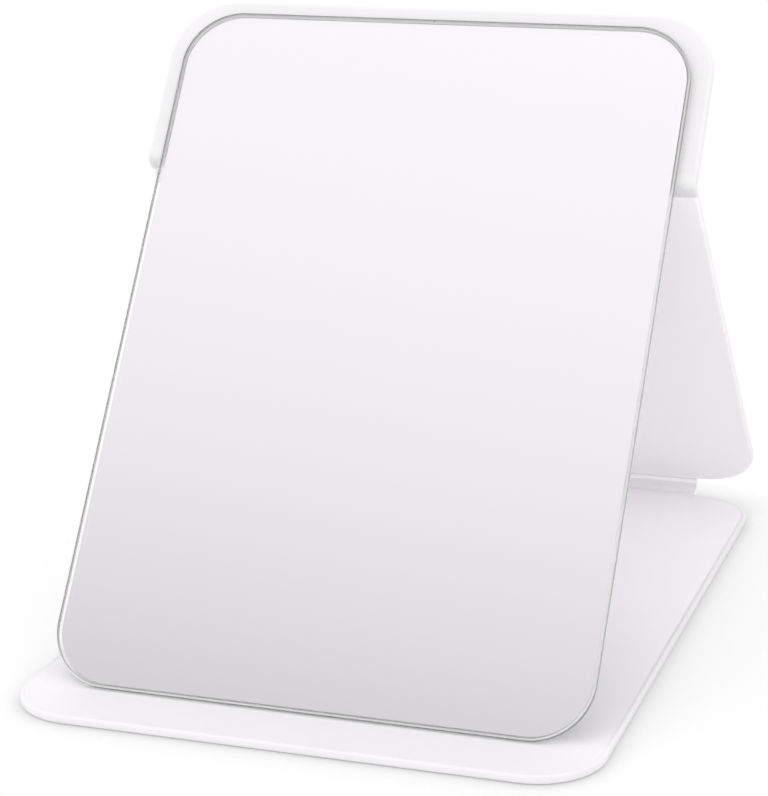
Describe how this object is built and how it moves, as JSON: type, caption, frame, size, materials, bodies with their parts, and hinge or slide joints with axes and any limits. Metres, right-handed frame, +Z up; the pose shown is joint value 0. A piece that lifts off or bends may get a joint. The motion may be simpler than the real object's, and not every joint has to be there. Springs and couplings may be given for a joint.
{
  "type": "folding desk mirror",
  "caption": "Rectangular mirror with rounded corners on a folding leather-covered stand that leans it back on a desk and opens flat.",
  "frame": {"origin": "middle of the base panel's underside", "axes": "+Z up from the table, +Y away from the viewer towards the spine, +X to the viewer's right; right-handed"},
  "size_m": [0.193, 0.2651, 0.2011],
  "materials": {
    "white_leather": "white imitation leather with a fine crossed grain, satin",
    "lining_leather": "white imitation leather lining with a fine crossed grain, satin",
    "greyboard": "plain greyboard, hidden inside the cover",
    "foam_tape": "double-sided foam tape",
    "back_coat": "grey protective coat behind the silvering",
    "silvering": "bright reflecting layer",
    "clear_glass": "clear sheet with a polished rounded edge"
  },
  "bodies": {
    "base": {"base_skin": "white_leather", "base_board": "greyboard", "base_lining": "lining_leather", "base_fold": "white_leather"},
    "spine": {"spine_skin": "white_leather", "spine_board": "greyboard", "spine_lining": "lining_leather"},
    "rear_panel": {"rear_skin": "white_leather", "rear_board": "greyboard", "rear_lining": "lining_leather", "rear_fold": "white_leather"},
    "mirror_panel": {"upper_skin": "white_leather", "upper_board": "greyboard", "upper_lining": "lining_leather", "top_fold": "white_leather", "mounting_tape_high": "foam_tape", "mounting_tape_low": "foam_tape", "mirror_back_coat": "back_coat", "mirror_silvering": "silvering", "mirror_glass": "clear_glass"}
  },
  "joints": [
    {"name": "base_crease", "type": "hinge", "parent": "base", "child": "spine", "pos_m": [0, 0.12985, 0.0015], "axis": [1, 0, 0], "range_deg": [-45, 0]},
    {"name": "rear_crease", "type": "hinge", "parent": "spine", "child": "rear_panel", "pos_m": [0, 0.13565, 0.0073], "axis": [1, 0, 0], "range_deg": [-86.5, 0]},
    {"name": "top_crease", "type": "hinge", "parent": "rear_panel", "child": "mirror_panel", "pos_m": [0, 0.00803, 0.15155], "axis": [1, 0, 0], "range_deg": [0, 78]}
  ],
  "couplings": [
    {"joint": "top_crease", "follows": "rear_crease", "ratio": -0.9017}
  ]
}
